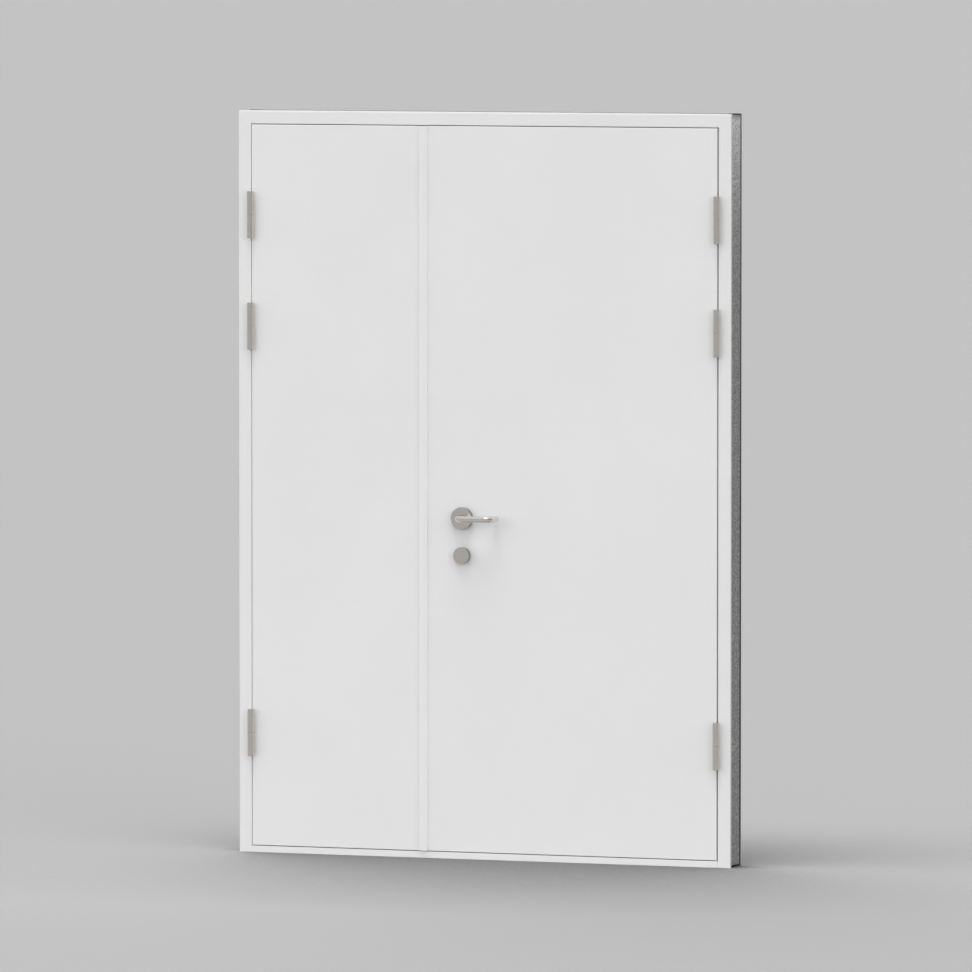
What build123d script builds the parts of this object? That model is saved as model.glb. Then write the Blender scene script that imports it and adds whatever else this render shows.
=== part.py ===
"""Double fire door in a painted steel channel frame, closed, seen from its pull side.

Lengths are in millimetres. X runs across the door, Y runs into the wall, so that the pull
side faces -Y, and Z is up. The origin is the centre of the threshold's underside.

A depth called "into the frame" is measured from the frame's front face, and a height is
measured from the floor. The active leaf hangs on the right and the passive leaf on the left.
Side is +1 for the right hand of the frame and -1 for the left hand.
"""

import os

from build123d import *

# Frame: one folded channel, mitred at the head, open towards the wall behind a short front lip
frame_width = 1470.0
frame_height = 2100.0
frame_depth = 90.0
frame_sheet = 2.0
frame_face = 38.5
frame_bend = 2.2
front_lip = 5.0
front_lip_bend = 4.0
rebate_depth = 64.0
stop_width = 18.0
infill_recess = 5.0

# Fixing holes through the rebate into the wall
fixing_diameter = 9.0
fixing_count = 4
fixing_end_margin = 225.0
fixing_depth = 50.0

# Threshold between the jambs
threshold_height = 18.0
threshold_stop_height = 30.0
threshold_stop_width = 16.0
threshold_rear_height = 20.0

# Leaves
leaf_thickness = 60.0
leaf_sheet = 1.5
leaf_bend = 1.5
edge_gap = 2.0
active_hinge_edge_gap = 4.0
meeting_gap = 6.0
passive_leaf_width = 513.5

# Seal on the stop
seal_margin = 3.0
seal_width = 10.0
seal_foot_width = 6.0
seal_clearance = 0.3
seal_round = 1.5

# Fire strip let into each meeting edge
fire_strip_width = 10.0
fire_strip_thickness = 2.0
fire_strip_back_margin = 5.0

# Cover strips over the meeting gap
strip_width = 25.0
strip_overlap = 9.0
strip_thickness = 5.0
strip_relief = 1.0
strip_edge_round = 0.8
rear_strip_end_clearance = 5.0

# Hinges
bottom_hinge_margin = 320.0
top_hinge_margin = 254.5
upper_hinge_spacing = 314.5
hinge_length = 133.0
barrel_diameter = 19.5
barrel_clearance = 0.5
hinge_axis_inset = 2.0
barrel_round = 0.8
barrel_joint_round = 0.2
pin_diameter = 10.0
pin_clearance = 0.08
pin_length = 46.0
bore_end_clearance = 2.0
ring_thickness = 1.0
ring_bore_clearance = 0.1
ring_running_gap = 0.2
wing_thickness = 3.0
wing_depth = 40.0

# Lever handle and roses
spindle_backset = 115.0
spindle_height = 960.0
spindle_square = 9.0
spindle_clearance = 0.1
spindle_grip = 24.0
spindle_hole_diameter = 22.0
lever_diameter = 18.5
lever_reach = 54.0
lever_length = 102.0
lever_bend = 18.0
lever_end_clearance = 9.0
lever_end_round = 1.0
neck_clearance = 0.3
neck_seat = 6.0
rose_diameter = 62.0
rose_thickness = 14.0
rose_edge_round = 1.0
blank_rose_diameter = 47.0
blank_rose_thickness = 14.0
blank_rose_drop = 105.0

# Mortise lock in the active leaf
forend_width = 24.0
forend_length = 235.0
forend_thickness = 3.0
forend_below_spindle = 155.0
case_thickness = 15.0
case_behind_spindle = 35.0
case_above_spindle = 60.0
case_below_spindle = 135.0
case_hub_diameter = 16.0
latch_width = 12.0
latch_height = 30.0
latch_length = 25.0
latch_clearance = 0.3

# Strike plate in the passive leaf
strike_length = 200.0
strike_thickness = 3.0
strike_hole_width = 14.0
strike_hole_height = 36.0
strike_pocket_depth = 20.0

# Flush bolts in the passive leaf and their keepers
bolt_plate_width = 20.0
bolt_plate_length = 160.0
bolt_plate_thickness = 3.0
bolt_plate_margin = 70.0
bolt_box_depth = 20.0
bolt_box_thickness = 16.0
bolt_slot_width = 10.0
bolt_slot_length = 60.0
bolt_slot_depth = 2.0
bolt_rod_diameter = 10.0
bolt_rod_drawback = 2.0
bolt_rod_hole_clearance = 0.5
keeper_length = 60.0
keeper_width = 24.0
keeper_hole_diameter = 12.0
keeper_pocket_depth = 25.0

# Places worked out from the sizes above
half_width = frame_width / 2
front = -frame_depth / 2
rebate_half = half_width - frame_face
stop_half = rebate_half - stop_width
hinge_edge = {-1: rebate_half - edge_gap, 1: rebate_half - active_hinge_edge_gap}
leaf_top = frame_height - frame_face - edge_gap
leaf_bottom = threshold_height + edge_gap
leaf_back = front + leaf_thickness
leaf_mid = front + leaf_thickness / 2
passive_edge = -hinge_edge[-1] + passive_leaf_width
active_edge = passive_edge + meeting_gap
stop_front = front + rebate_depth
seal_half = rebate_half - seal_margin
seal_top = frame_height - frame_face - seal_margin
seal_bottom = threshold_height + seal_margin
spindle_x = active_edge + spindle_backset
fixing_spacing = (frame_height - 2 * fixing_end_margin) / (fixing_count - 1)
hinge_heights = (
    leaf_bottom + bottom_hinge_margin,
    leaf_top - top_hinge_margin - upper_hinge_spacing,
    leaf_top - top_hinge_margin,
)
hinge_axis_x = rebate_half - hinge_axis_inset
barrel_radius = barrel_diameter / 2
hinge_axis_y = front - barrel_clearance - barrel_radius
half_barrel_gap = ring_thickness + ring_running_gap
lever_radius = lever_diameter / 2
bolt_rod_x = passive_edge - bolt_plate_thickness - bolt_box_depth / 2
blank_rose_height = spindle_height - blank_rose_drop
forend_mid = spindle_height - forend_below_spindle + forend_length / 2
overcut = 1.0


def box_between(x, y, z, mode=Mode.ADD):
    """Add or cut a box that spans three pairs of limits."""
    with Locations(((x[0] + x[1]) / 2, (y[0] + y[1]) / 2, (z[0] + z[1]) / 2)):
        Box(abs(x[1] - x[0]), abs(y[1] - y[0]), abs(z[1] - z[0]), mode=mode)


def channel_outline(inset, mouth):
    """Corners of the frame's channel as pairs: from the wall inwards, and into the frame.

    An inset of zero is the outside of the sheet, and an inset of the sheet is its inside.
    """
    face = frame_face - inset
    stop = frame_face + stop_width - inset
    back = frame_depth - inset
    step = rebate_depth + inset
    return [(mouth, inset), (face, inset), (face, step), (stop, step), (stop, back), (mouth, back)]


def channel_hollow():
    """Corners of the channel's hollow, which opens towards the wall behind the front lip."""
    mouth = [(-overcut, front_lip), (frame_sheet, front_lip), (frame_sheet, frame_sheet)]
    return mouth + channel_outline(frame_sheet, -overcut)[1:]


def mitre_plane(side):
    """The plane of a head corner's mitre, with its normal towards the jamb."""
    return Plane(origin=(side * half_width, 0, frame_height), z_dir=(side, 0, -1))


def jamb_points(side, corners):
    """Corners of the channel in plan, for the jamb on one side."""
    return [(side * (half_width - u), front + v) for u, v in corners]


def head_points(corners):
    """Corners of the channel for the head, as Y and Z."""
    return [(front + v, frame_height - u) for u, v in corners]


def cut_fixings(side):
    """Cut the fixing holes of one jamb, from the rebate out to the wall."""
    heights = [fixing_end_margin + i * fixing_spacing for i in range(fixing_count)]
    for height in heights:
        with Locations((side * (half_width + stop_half) / 2, front + fixing_depth, height)):
            Cylinder(
                fixing_diameter / 2,
                half_width - stop_half + overcut,
                rotation=(0, 90, 0),
                mode=Mode.SUBTRACT,
            )


def cut_wing_seats(side, near, far, upper):
    """Cut the seats of one leaf's or jamb's hinge wings between two distances from the middle."""
    for height in hinge_heights:
        box_between(
            (side * near, side * far),
            (front - overcut, front + wing_depth),
            half_barrel_span(height, upper),
            Mode.SUBTRACT,
        )


def half_barrel_span(height, upper):
    """The lower and upper ends of one half barrel of the hinge at this height."""
    if upper:
        return (height + half_barrel_gap / 2, height + hinge_length / 2)
    return (height - hinge_length / 2, height - half_barrel_gap / 2)


def round_corners(section, points, radius):
    """Round the corners of a section that lie at these points."""
    for x, y in points:
        corner = [v for v in section.vertices() if abs(v.X - x) + abs(v.Y - y) < 1e-6]
        fillet(corner, radius=radius)


def channel_section(plane, outside, hollow):
    """The channel's sheet on a plane, from the corners of its outside and of its hollow."""
    with BuildSketch(plane) as section:
        with BuildLine():
            Polyline(*outside, close=True)
        make_face()
        round_corners(section, [outside[0]], front_lip_bend)
        round_corners(section, [outside[1], outside[3], outside[4]], frame_bend)
        with BuildLine():
            Polyline(*hollow, close=True)
        make_face(mode=Mode.SUBTRACT)
        round_corners(section, [hollow[2]], front_lip_bend - frame_sheet)
    return section.sketch


def make_jamb(side):
    """One jamb: the folded channel, mitred at the top, with hinge seats and fixing holes."""
    outside = jamb_points(side, channel_outline(0, 0))
    hollow = jamb_points(side, channel_hollow())
    with BuildPart() as jamb:
        extrude(channel_section(Plane.XY, outside, hollow), amount=frame_height)
        split(bisect_by=mitre_plane(side), keep=Keep.TOP)
        cut_wing_seats(side, rebate_half - overcut, rebate_half + wing_thickness, upper=False)
        cut_fixings(side)
    return jamb


def make_jamb_infill(side):
    """The fill of one jamb, held back from the wall, the floor and the head's open top."""
    with BuildPart() as infill:
        with BuildSketch(Plane.XY.offset(infill_recess)):
            with BuildLine():
                Polyline(
                    *jamb_points(side, channel_outline(frame_sheet, infill_recess)), close=True
                )
            make_face()
        extrude(amount=frame_height - infill_recess)
        split(bisect_by=mitre_plane(side), keep=Keep.TOP)
        cut_wing_seats(side, rebate_half - overcut, rebate_half + wing_thickness, upper=False)
        cut_fixings(side)
    return infill


def cut_keeper_seat(surface, up):
    """Cut the seat of a flush bolt's keeper and the hole behind it, from one rebate face."""
    seat = surface + up * frame_sheet
    box_between(
        (bolt_rod_x - keeper_length / 2, bolt_rod_x + keeper_length / 2),
        (leaf_mid - keeper_width / 2, leaf_mid + keeper_width / 2),
        (surface - up * overcut, seat),
        Mode.SUBTRACT,
    )


with BuildPart() as head:
    head_section = channel_section(
        Plane.YZ.offset(-half_width),
        head_points(channel_outline(0, 0)),
        head_points(channel_hollow()),
    )
    extrude(head_section, amount=frame_width)
    split(bisect_by=mitre_plane(-1), keep=Keep.BOTTOM)
    split(bisect_by=mitre_plane(1), keep=Keep.BOTTOM)
    cut_keeper_seat(frame_height - frame_face, up=1)

with BuildPart() as head_infill:
    with BuildSketch(Plane.YZ.offset(-half_width)):
        with BuildLine():
            Polyline(*head_points(channel_outline(frame_sheet, infill_recess)), close=True)
        make_face()
    extrude(amount=frame_width)
    split(bisect_by=mitre_plane(-1), keep=Keep.BOTTOM)
    split(bisect_by=mitre_plane(1), keep=Keep.BOTTOM)
    with Locations((bolt_rod_x, leaf_mid, frame_height - frame_face)):
        Cylinder(keeper_hole_diameter / 2, 2 * keeper_pocket_depth, mode=Mode.SUBTRACT)

with BuildPart() as threshold:
    with BuildSketch(Plane.YZ.offset(-rebate_half)):
        with BuildLine():
            Polyline(
                (front, 0),
                (front, threshold_height),
                (stop_front, threshold_height),
                (stop_front, threshold_stop_height),
                (stop_front + threshold_stop_width, threshold_stop_height),
                (-front, threshold_rear_height),
                (-front, 0),
                close=True,
            )
        make_face()
        offset(amount=-frame_sheet, kind=Kind.INTERSECTION, mode=Mode.SUBTRACT)
    extrude(amount=2 * rebate_half)
    for side in (-1, 1):
        box_between(
            (side * stop_half, side * (rebate_half + overcut)),
            (stop_front, -front + overcut),
            (-overcut, threshold_stop_height + overcut),
            Mode.SUBTRACT,
        )
    cut_keeper_seat(threshold_height, up=-1)

with BuildPart() as frame_seal:
    with BuildSketch(Plane.XZ.offset(-(leaf_back + seal_clearance))):
        with Locations((0, (seal_top + seal_bottom) / 2)):
            Rectangle(2 * seal_half, seal_top - seal_bottom)
        with Locations((0, (seal_top - seal_width + seal_bottom + seal_foot_width) / 2)):
            Rectangle(
                2 * (seal_half - seal_width),
                seal_top - seal_width - seal_bottom - seal_foot_width,
                mode=Mode.SUBTRACT,
            )
    extrude(amount=-(stop_front - leaf_back - seal_clearance))
    fillet(frame_seal.faces().sort_by(Axis.Y)[0].edges(), radius=seal_round)


def add_half_barrels(side, upper):
    """Add the half barrels of one side's hinges, rounded outside and almost sharp at the joint."""
    for height in hinge_heights:
        low, high = half_barrel_span(height, upper)
        with BuildPart(mode=Mode.PRIVATE) as barrel:
            with Locations((side * hinge_axis_x, hinge_axis_y, (low + high) / 2)):
                Cylinder(barrel_radius, high - low)
            rims = barrel.edges().filter_by(GeomType.CIRCLE).sort_by(Axis.Z)
            outer, joint = (rims[-1], rims[0]) if upper else (rims[0], rims[-1])
            fillet(outer, radius=barrel_round)
            fillet(joint, radius=barrel_joint_round)
        add(barrel.part)


def make_hinge_frame_halves(side):
    """The lower barrels of one leaf's three hinges, with their wings and fixed pins."""
    with BuildPart() as halves:
        add_half_barrels(side, upper=False)
        for height in hinge_heights:
            low, high = half_barrel_span(height, upper=False)
            box_between(
                (side * rebate_half, side * (rebate_half + wing_thickness)),
                (hinge_axis_y, front + wing_depth),
                (low + barrel_round, high - barrel_round),
            )
            with Locations((side * hinge_axis_x, hinge_axis_y, high + pin_length / 2)):
                Cylinder(pin_diameter / 2, pin_length)
    return halves


def make_hinge_leaf_halves(side):
    """The upper barrels of one leaf's three hinges, with their wings and pin bores."""
    bore_radius = pin_diameter / 2 + pin_clearance
    with BuildPart() as halves:
        add_half_barrels(side, upper=True)
        for height in hinge_heights:
            low, high = half_barrel_span(height, upper=True)
            box_between(
                (side * (hinge_edge[side] - wing_thickness), side * hinge_edge[side]),
                (hinge_axis_y, front + wing_depth),
                (low + barrel_round, high - barrel_round),
            )
            bore_top = low - half_barrel_gap + pin_length + bore_end_clearance
            with Locations((side * hinge_axis_x, hinge_axis_y, bore_top)):
                Cylinder(
                    bore_radius,
                    bore_top - low + overcut,
                    align=(Align.CENTER, Align.CENTER, Align.MAX),
                    mode=Mode.SUBTRACT,
                )
    return halves


def make_hinge_rings(side):
    """The thin bearing rings that lie on the lower barrels of one leaf's hinges."""
    with BuildPart() as rings:
        for height in hinge_heights:
            seat = half_barrel_span(height, upper=False)[1]
            with BuildSketch(Plane.XY.offset(seat)):
                with Locations((side * hinge_axis_x, hinge_axis_y)):
                    Circle(barrel_radius)
                    Circle(pin_diameter / 2 + ring_bore_clearance, mode=Mode.SUBTRACT)
            extrude(amount=ring_thickness)
    return rings


def cut_edge_plate(edge, inwards, width, length, thickness, height):
    """Cut a round-ended seat for a plate that lies flush in a leaf's meeting edge."""
    plane = Plane(origin=(edge, leaf_mid, height), z_dir=(inwards, 0, 0), x_dir=(0, 0, 1))
    with BuildSketch(plane) as seat:
        SlotOverall(length, width)
    extrude(seat.sketch, amount=thickness, mode=Mode.SUBTRACT)


def cut_fire_strip_seat(edge, inwards):
    """Cut the groove of the fire strip in a leaf's meeting edge."""
    box_between(
        (edge - inwards * overcut, edge + inwards * fire_strip_thickness),
        fire_strip_span(),
        (leaf_bottom - overcut, leaf_top + overcut),
        Mode.SUBTRACT,
    )


def fire_strip_span():
    """The two limits of the fire strips in Y."""
    far = leaf_back - fire_strip_back_margin
    return (far - fire_strip_width, far)


def make_fire_strip(edge, inwards):
    """The fire strip of one leaf, flush with its meeting edge."""
    with BuildPart() as strip:
        box_between(
            (edge, edge + inwards * fire_strip_thickness),
            fire_strip_span(),
            (leaf_bottom, leaf_top),
        )
    return strip


def cut_active_seats():
    """Cut what the active leaf's hinges, lock, spindle and fire strip need."""
    cut_wing_seats(1, hinge_edge[1] - wing_thickness, hinge_edge[1] + overcut, upper=True)
    cut_fire_strip_seat(active_edge, 1)
    cut_edge_plate(active_edge, 1, forend_width, forend_length, forend_thickness, forend_mid)
    box_between(*case_limits(), Mode.SUBTRACT)
    with Locations((spindle_x, leaf_mid, spindle_height)):
        Cylinder(
            spindle_hole_diameter / 2,
            leaf_thickness + 2 * overcut,
            rotation=(90, 0, 0),
            mode=Mode.SUBTRACT,
        )


def cut_passive_seats():
    """Cut what the passive leaf's hinges, strike plate, flush bolts and fire strip need."""
    cut_wing_seats(-1, hinge_edge[-1] - wing_thickness, hinge_edge[-1] + overcut, upper=True)
    cut_fire_strip_seat(passive_edge, -1)
    cut_edge_plate(
        passive_edge, -1, forend_width, strike_length, strike_thickness, spindle_height
    )
    box_between(
        (passive_edge, passive_edge - strike_thickness - strike_pocket_depth),
        (leaf_mid - strike_hole_width / 2, leaf_mid + strike_hole_width / 2),
        (spindle_height - strike_hole_height / 2, spindle_height + strike_hole_height / 2),
        Mode.SUBTRACT,
    )
    for end in (-1, 1):
        cut_edge_plate(
            passive_edge,
            -1,
            bolt_plate_width,
            bolt_plate_length,
            bolt_plate_thickness,
            bolt_plate_height(end),
        )
        box_between(*bolt_box_limits(end), Mode.SUBTRACT)
        low, high = bolt_rod_span(end)
        radius = bolt_rod_diameter / 2 + bolt_rod_hole_clearance
        with Locations((bolt_rod_x, leaf_mid, (low + high) / 2 + end * overcut)):
            Cylinder(radius, high - low + 2 * bolt_rod_drawback, mode=Mode.SUBTRACT)


def case_limits():
    """The limits of the lock's case in X, Y and Z."""
    return (
        (active_edge + forend_thickness, spindle_x + case_behind_spindle),
        (leaf_mid - case_thickness / 2, leaf_mid + case_thickness / 2),
        (spindle_height - case_below_spindle, spindle_height + case_above_spindle),
    )


def leaf_end(end):
    """The height of a leaf's top edge, for an end of 1, or of its bottom edge, for -1."""
    return leaf_top if end > 0 else leaf_bottom


def bolt_plate_height(end):
    """The middle of a flush bolt's plate."""
    return leaf_end(end) - end * (bolt_plate_margin + bolt_plate_length / 2)


def bolt_box_limits(end):
    """The limits of a flush bolt's box behind its plate, in X, Y and Z."""
    middle = bolt_plate_height(end)
    half = (bolt_plate_length - bolt_plate_width) / 2
    near = passive_edge - bolt_plate_thickness
    return (
        (near - bolt_box_depth, near),
        (leaf_mid - bolt_box_thickness / 2, leaf_mid + bolt_box_thickness / 2),
        (middle - half, middle + half),
    )


def bolt_rod_span(end):
    """The lower and upper ends of a flush bolt's rod, from its box to inside the leaf's edge."""
    box_end = bolt_plate_height(end) + end * (bolt_plate_length - bolt_plate_width) / 2
    tip = leaf_end(end) - end * bolt_rod_drawback
    return (min(box_end, tip), max(box_end, tip))


def make_front_skin(near, far, cut_seats):
    """A leaf's pull side: a sheet tray whose folded edges close the leaf all round."""
    with BuildPart() as skin:
        box_between((near, far), (front, leaf_back - leaf_sheet), (leaf_bottom, leaf_top))
        fillet(skin.faces().sort_by(Axis.Y)[0].edges(), radius=leaf_bend)
        box_between(
            (near + leaf_sheet, far - leaf_sheet),
            (front + leaf_sheet, leaf_back),
            (leaf_bottom + leaf_sheet, leaf_top - leaf_sheet),
            Mode.SUBTRACT,
        )
        cut_seats()
    return skin


def make_back_skin(near, far, cut_seats):
    """A leaf's push side: a flat sheet over the tray and the core."""
    with BuildPart() as skin:
        box_between((near, far), (leaf_back - leaf_sheet, leaf_back), (leaf_bottom, leaf_top))
        cut_seats()
    return skin


def make_core(near, far, cut_seats):
    """A leaf's mineral core, inside its skins."""
    with BuildPart() as core:
        box_between(
            (near + leaf_sheet, far - leaf_sheet),
            (front + leaf_sheet, leaf_back - leaf_sheet),
            (leaf_bottom + leaf_sheet, leaf_top - leaf_sheet),
        )
        cut_seats()
    return core


def make_cover_strip(carrier_edge, other_edge, face, outwards, low, high):
    """A cover strip: a flat bar on one leaf, relieved where it laps over the other leaf."""
    towards = 1 if other_edge > carrier_edge else -1
    tip = other_edge + towards * strip_overlap
    root = tip - towards * strip_width
    with BuildPart() as strip:
        with BuildSketch(Plane.XY.offset(low)) as section:
            with BuildLine():
                Polyline(
                    (root, face),
                    (root, face + outwards * strip_thickness),
                    (tip, face + outwards * strip_thickness),
                    (tip, face + outwards * strip_relief),
                    (carrier_edge, face + outwards * strip_relief),
                    (carrier_edge, face),
                    close=True,
                )
            make_face()
            outer = face + outwards * strip_thickness
            fillet([v for v in section.vertices() if abs(v.Y - outer) < 1e-6], strip_edge_round)
        extrude(amount=high - low)
    return strip


def make_flush_bolt(end):
    """A flush bolt: a round-ended plate with a thumb slot, its box and its rod, drawn back."""
    plane = Plane(
        origin=(passive_edge, leaf_mid, bolt_plate_height(end)), z_dir=(-1, 0, 0), x_dir=(0, 0, 1)
    )
    low, high = bolt_rod_span(end)
    with BuildPart() as bolt:
        with BuildSketch(plane):
            SlotOverall(bolt_plate_length, bolt_plate_width)
        extrude(amount=bolt_plate_thickness)
        box_between(*bolt_box_limits(end))
        with Locations((bolt_rod_x, leaf_mid, (low + high) / 2)):
            Cylinder(bolt_rod_diameter / 2, high - low)
        with BuildSketch(plane):
            SlotOverall(bolt_slot_length, bolt_slot_width)
        extrude(amount=bolt_slot_depth, mode=Mode.SUBTRACT)
    return bolt


def make_bolt_keeper(surface, up):
    """The keeper of a flush bolt, flush in one rebate face, with a hole for the rod."""
    with BuildPart() as keeper:
        box_between(
            (bolt_rod_x - keeper_length / 2, bolt_rod_x + keeper_length / 2),
            (leaf_mid - keeper_width / 2, leaf_mid + keeper_width / 2),
            (surface, surface + up * frame_sheet),
        )
        with Locations((bolt_rod_x, leaf_mid, surface)):
            Cylinder(keeper_hole_diameter / 2, 4 * frame_sheet, mode=Mode.SUBTRACT)
    return keeper


def make_rose(height, diameter, thickness, outwards, neck_hole):
    """A round rose on one face of the active leaf, with a hole for the lever's neck or blank."""
    face = front if outwards < 0 else leaf_back
    with BuildPart() as rose:
        with BuildSketch(Plane(origin=(spindle_x, face, height), z_dir=(0, outwards, 0))):
            Circle(diameter / 2)
        extrude(amount=thickness)
        rim = rose.faces().sort_by(Axis.Y)[0 if outwards < 0 else -1]
        fillet(rim.edges(), radius=rose_edge_round)
        if neck_hole:
            with BuildSketch(Plane(origin=(spindle_x, face, height), z_dir=(0, outwards, 0))):
                Circle(lever_radius + neck_clearance)
            extrude(amount=thickness, mode=Mode.SUBTRACT)
    return rose


def make_lever(outwards):
    """A round-bar lever: out from the rose, along the leaf and back to end near its face."""
    face = front if outwards < 0 else leaf_back
    seat = face + outwards * (rose_thickness - neck_seat)
    reach = face + outwards * lever_reach
    end = face + outwards * lever_end_clearance
    far = spindle_x + lever_length
    with BuildPart() as lever:
        with BuildLine() as route:
            FilletPolyline(
                (spindle_x, seat, spindle_height),
                (spindle_x, reach, spindle_height),
                (far, reach, spindle_height),
                (far, end, spindle_height),
                radius=lever_bend,
            )
        with BuildSketch(Plane(origin=(spindle_x, seat, spindle_height), z_dir=(0, outwards, 0))):
            Circle(lever_radius)
        sweep(path=route.wires()[0])
        tips = lever.edges().filter_by(GeomType.CIRCLE)
        fillet([e for e in tips if abs(e.center().Y - end) < 1e-6], radius=lever_end_round)
        with BuildSketch(Plane(origin=(spindle_x, seat, spindle_height), z_dir=(0, outwards, 0))):
            Rectangle(spindle_square + 2 * spindle_clearance, spindle_square + 2 * spindle_clearance)
        extrude(amount=spindle_grip, mode=Mode.SUBTRACT)
    return lever


left_jamb = make_jamb(-1)
right_jamb = make_jamb(1)
left_infill = make_jamb_infill(-1)
right_infill = make_jamb_infill(1)
head_bolt_keeper = make_bolt_keeper(frame_height - frame_face, up=1)
threshold_bolt_keeper = make_bolt_keeper(threshold_height, up=-1)
left_hinge_frame_halves = make_hinge_frame_halves(-1)
right_hinge_frame_halves = make_hinge_frame_halves(1)
left_hinge_rings = make_hinge_rings(-1)
right_hinge_rings = make_hinge_rings(1)

passive_limits = (-hinge_edge[-1], passive_edge)
active_limits = (active_edge, hinge_edge[1])
passive_front_skin = make_front_skin(*passive_limits, cut_passive_seats)
passive_back_skin = make_back_skin(*passive_limits, cut_passive_seats)
passive_core = make_core(*passive_limits, cut_passive_seats)
passive_hinge_halves = make_hinge_leaf_halves(-1)
passive_fire_strip = make_fire_strip(passive_edge, -1)
top_flush_bolt = make_flush_bolt(1)
bottom_flush_bolt = make_flush_bolt(-1)
active_front_skin = make_front_skin(*active_limits, cut_active_seats)
active_back_skin = make_back_skin(*active_limits, cut_active_seats)
active_core = make_core(*active_limits, cut_active_seats)
active_hinge_halves = make_hinge_leaf_halves(1)
active_fire_strip = make_fire_strip(active_edge, 1)

front_cover_strip = make_cover_strip(
    active_edge, passive_edge, front, -1, leaf_bottom, leaf_top
)
rear_cover_strip = make_cover_strip(
    passive_edge,
    active_edge,
    leaf_back,
    1,
    threshold_stop_height + rear_strip_end_clearance,
    frame_height - frame_face - stop_width - rear_strip_end_clearance,
)

edge_plane = Plane(origin=(active_edge, leaf_mid, forend_mid), z_dir=(1, 0, 0), x_dir=(0, 0, 1))
with BuildPart() as mortise_lock:
    with BuildSketch(edge_plane):
        SlotOverall(forend_length, forend_width)
    extrude(amount=forend_thickness)
    box_between(*case_limits())
    with Locations((spindle_x, leaf_mid, spindle_height)):
        Cylinder(
            case_hub_diameter / 2, 2 * case_thickness, rotation=(90, 0, 0), mode=Mode.SUBTRACT
        )
    box_between(
        (active_edge - overcut, active_edge + latch_length + latch_clearance),
        (leaf_mid - latch_width / 2 - latch_clearance, leaf_mid + latch_width / 2 + latch_clearance),
        (
            spindle_height - latch_height / 2 - latch_clearance,
            spindle_height + latch_height / 2 + latch_clearance,
        ),
        Mode.SUBTRACT,
    )

with BuildPart() as latch_bolt:
    box_between(
        (active_edge, active_edge + latch_length),
        (leaf_mid - latch_width / 2, leaf_mid + latch_width / 2),
        (spindle_height - latch_height / 2, spindle_height + latch_height / 2),
    )

with BuildPart() as strike_plate:
    with BuildSketch(
        Plane(origin=(passive_edge, leaf_mid, spindle_height), z_dir=(-1, 0, 0), x_dir=(0, 0, 1))
    ):
        SlotOverall(strike_length, forend_width)
        Rectangle(strike_hole_height, strike_hole_width, mode=Mode.SUBTRACT)
    extrude(amount=strike_thickness)

pull_lever_rose = make_rose(spindle_height, rose_diameter, rose_thickness, -1, neck_hole=True)
push_lever_rose = make_rose(spindle_height, rose_diameter, rose_thickness, 1, neck_hole=True)
pull_blank_rose = make_rose(
    blank_rose_height, blank_rose_diameter, blank_rose_thickness, -1, neck_hole=False
)
push_blank_rose = make_rose(
    blank_rose_height, blank_rose_diameter, blank_rose_thickness, 1, neck_hole=False
)
pull_lever = make_lever(-1)
push_lever = make_lever(1)

spindle_ends = rose_thickness - neck_seat + spindle_grip - spindle_clearance
with BuildPart() as spindle:
    box_between(
        (spindle_x - spindle_square / 2, spindle_x + spindle_square / 2),
        (front - spindle_ends, leaf_back + spindle_ends),
        (spindle_height - spindle_square / 2, spindle_height + spindle_square / 2),
    )

pieces = {
    "left_jamb": left_jamb,
    "right_jamb": right_jamb,
    "head": head,
    "threshold": threshold,
    "left_infill": left_infill,
    "right_infill": right_infill,
    "head_infill": head_infill,
    "frame_seal": frame_seal,
    "left_hinge_frame_halves": left_hinge_frame_halves,
    "right_hinge_frame_halves": right_hinge_frame_halves,
    "left_hinge_rings": left_hinge_rings,
    "right_hinge_rings": right_hinge_rings,
    "head_bolt_keeper": head_bolt_keeper,
    "threshold_bolt_keeper": threshold_bolt_keeper,
    "passive_front_skin": passive_front_skin,
    "passive_back_skin": passive_back_skin,
    "passive_core": passive_core,
    "passive_hinge_halves": passive_hinge_halves,
    "passive_fire_strip": passive_fire_strip,
    "rear_cover_strip": rear_cover_strip,
    "strike_plate": strike_plate,
    "top_flush_bolt": top_flush_bolt,
    "bottom_flush_bolt": bottom_flush_bolt,
    "active_front_skin": active_front_skin,
    "active_back_skin": active_back_skin,
    "active_core": active_core,
    "active_hinge_halves": active_hinge_halves,
    "active_fire_strip": active_fire_strip,
    "front_cover_strip": front_cover_strip,
    "mortise_lock": mortise_lock,
    "latch_bolt": latch_bolt,
    "pull_lever_rose": pull_lever_rose,
    "pull_blank_rose": pull_blank_rose,
    "push_lever_rose": push_lever_rose,
    "push_blank_rose": push_blank_rose,
    "pull_lever": pull_lever,
    "push_lever": push_lever,
    "spindle": spindle,
}

os.makedirs("parts", exist_ok=True)
for name, piece in pieces.items():
    piece.part.label = name
    export_step(piece.part, f"parts/{name}.step")
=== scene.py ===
import logging
import math
from dataclasses import dataclass
from enum import Enum
from typing import Iterable, Sequence

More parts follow.
